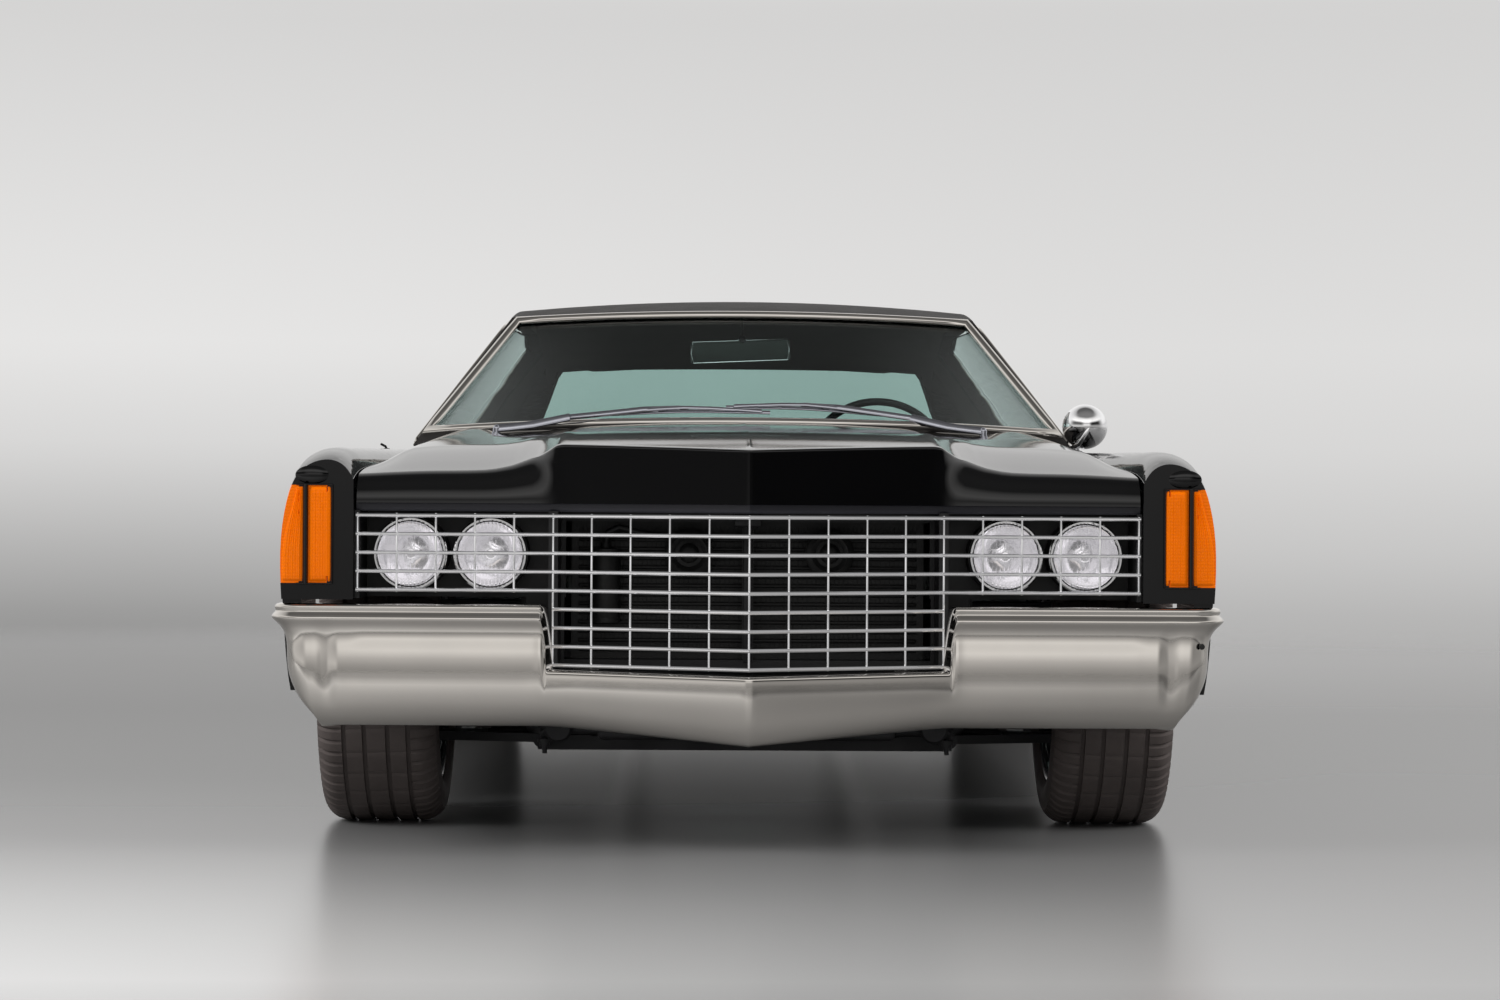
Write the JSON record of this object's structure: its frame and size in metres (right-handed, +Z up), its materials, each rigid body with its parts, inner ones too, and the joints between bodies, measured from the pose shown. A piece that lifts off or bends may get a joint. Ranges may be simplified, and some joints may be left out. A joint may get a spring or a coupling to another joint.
{
  "type": "two-door luxury coupe",
  "caption": "Full-size two-door hardtop luxury coupe, late-1960s style, black with chrome bumpers, V-shaped wire grille with exposed round headlamps and upright amber corner lamps.",
  "frame": {"origin": "on the ground under the middle of the car", "axes": "+Z up, +Y towards the tail, +X towards the left side of the car"},
  "size_m": [2.034, 5.6081, 1.3178],
  "materials": {
    "black_paint": "gloss",
    "black_structure": "satin",
    "tinted_glass": "polished, green tint",
    "clear_glass": "fluted",
    "polished_chrome": "polished",
    "amber_lens": "ribbed, translucent",
    "red_lens": "ribbed, translucent",
    "rubber_tyre": "matt, grooved",
    "wheel_metal": "satin",
    "cast_iron": "machined and painted",
    "radiator_black": "matt",
    "bare_steel": "aluminised",
    "dash_plastic": "grained",
    "seat_leather": "semi-matt"
  },
  "bodies": {
    "body": {"backlight": "tinted_glass", "chassis_frame": "black_structure", "corner_lamps": "amber_lens", "dashboard": "dash_plastic", "drive_shafts": "cast_iron", "engine_block": "cast_iron", "exhaust": "bare_steel", "fender_left": "black_paint", "fender_right": "black_paint", "firewall": "black_structure", "floor_pan": "black_structure", "front_bumper": "polished_chrome", "front_seats": "seat_leather", "front_suspension": "black_structure", "fuel_tank": "bare_steel", "grille": "polished_chrome", "headlamp_buckets": "polished_chrome", "headlamp_lenses": "clear_glass", "hinge_brackets": "black_structure", "inner_fenders": "black_structure", "interior_mirror": "dash_plastic", "nose_panel": "black_structure", "quarter_glass": "tinted_glass", "quarter_panel_left": "black_paint", "quarter_panel_right": "black_paint", "radiator": "radiator_black", "rear_axle": "black_structure", "rear_bumper": "polished_chrome", "rear_deck": "black_structure", "rear_seat": "seat_leather", "roof_panel": "black_paint", "tail_lamps": "red_lens", "tail_panel": "black_paint", "windshield": "tinted_glass", "wipers": "polished_chrome"},
    "door_left": {"door_left": "black_paint", "door_glass_left": "tinted_glass", "door_mirror": "polished_chrome"},
    "door_right": {"door_right": "black_paint", "door_glass_right": "tinted_glass"},
    "hood": {"hood": "black_paint"},
    "trunk_lid": {"trunk_lid": "black_paint"},
    "knuckle_left": {"knuckle_left": "cast_iron"},
    "knuckle_right": {"knuckle_right": "cast_iron"},
    "steering_link": {"steering_link": "cast_iron"},
    "steering_wheel": {"steering_wheel": "dash_plastic"},
    "wheel_front_left": {"tyre_front_left": "rubber_tyre", "wheel_front_left": "wheel_metal"},
    "wheel_front_right": {"tyre_front_right": "rubber_tyre", "wheel_front_right": "wheel_metal"},
    "wheel_rear_left": {"tyre_rear_left": "rubber_tyre", "wheel_rear_left": "wheel_metal"},
    "wheel_rear_right": {"tyre_rear_right": "rubber_tyre", "wheel_rear_right": "wheel_metal"}
  },
  "joints": [
    {"name": "steer_left", "type": "hinge", "parent": "body", "child": "knuckle_left", "pos_m": [0.785, -1.821, 0.35], "axis": [0, 0, 1], "range_deg": [-30, 30]},
    {"name": "steer_right", "type": "hinge", "parent": "body", "child": "knuckle_right", "pos_m": [-0.785, -1.821, 0.35], "axis": [0, 0, 1], "range_deg": [-30, 30]},
    {"name": "link_slide", "type": "slide", "parent": "body", "child": "steering_link", "axis": [-1, 0, 0], "range_m": [-0.0681, 0.0681]},
    {"name": "steering_wheel_turn", "type": "hinge", "parent": "body", "child": "steering_wheel", "pos_m": [0.375, -0.246, 0.833], "axis": [0, 0.948, 0.3182], "range_deg": [-480, 480]},
    {"name": "front_roll_left", "type": "hinge", "parent": "knuckle_left", "child": "wheel_front_left", "pos_m": [0.83, -1.821, 0.35], "axis": [1, 0, 0], "continuous": true},
    {"name": "rear_roll_left", "type": "hinge", "parent": "body", "child": "wheel_rear_left", "pos_m": [0.83, 1.227, 0.35], "axis": [1, 0, 0], "continuous": true},
    {"name": "door_left_hinge", "type": "hinge", "parent": "body", "child": "door_left", "pos_m": [0.955, -0.717, 0.5], "axis": [0, 0, -1], "range_deg": [0, 65]},
    {"name": "front_roll_right", "type": "hinge", "parent": "knuckle_right", "child": "wheel_front_right", "pos_m": [-0.83, -1.821, 0.35], "axis": [1, 0, 0], "continuous": true},
    {"name": "rear_roll_right", "type": "hinge", "parent": "body", "child": "wheel_rear_right", "pos_m": [-0.83, 1.227, 0.35], "axis": [1, 0, 0], "continuous": true},
    {"name": "door_right_hinge", "type": "hinge", "parent": "body", "child": "door_right", "pos_m": [-0.955, -0.717, 0.5], "axis": [0, 0, 1], "range_deg": [0, 65]},
    {"name": "hood_hinge", "type": "hinge", "parent": "body", "child": "hood", "pos_m": [0, -0.7, 0.85], "axis": [-1, 0, 0], "range_deg": [0, 50]},
    {"name": "trunk_hinge", "type": "hinge", "parent": "body", "child": "trunk_lid", "pos_m": [0, 1.21, 0.9], "axis": [1, 0, 0], "range_deg": [0, 55]}
  ],
  "couplings": [
    {"joint": "steer_right", "follows": "steer_left", "ratio": 1},
    {"joint": "link_slide", "follows": "steer_left", "m_per_rad": 0.13},
    {"joint": "steering_wheel_turn", "follows": "steer_left", "ratio": 16}
  ]
}
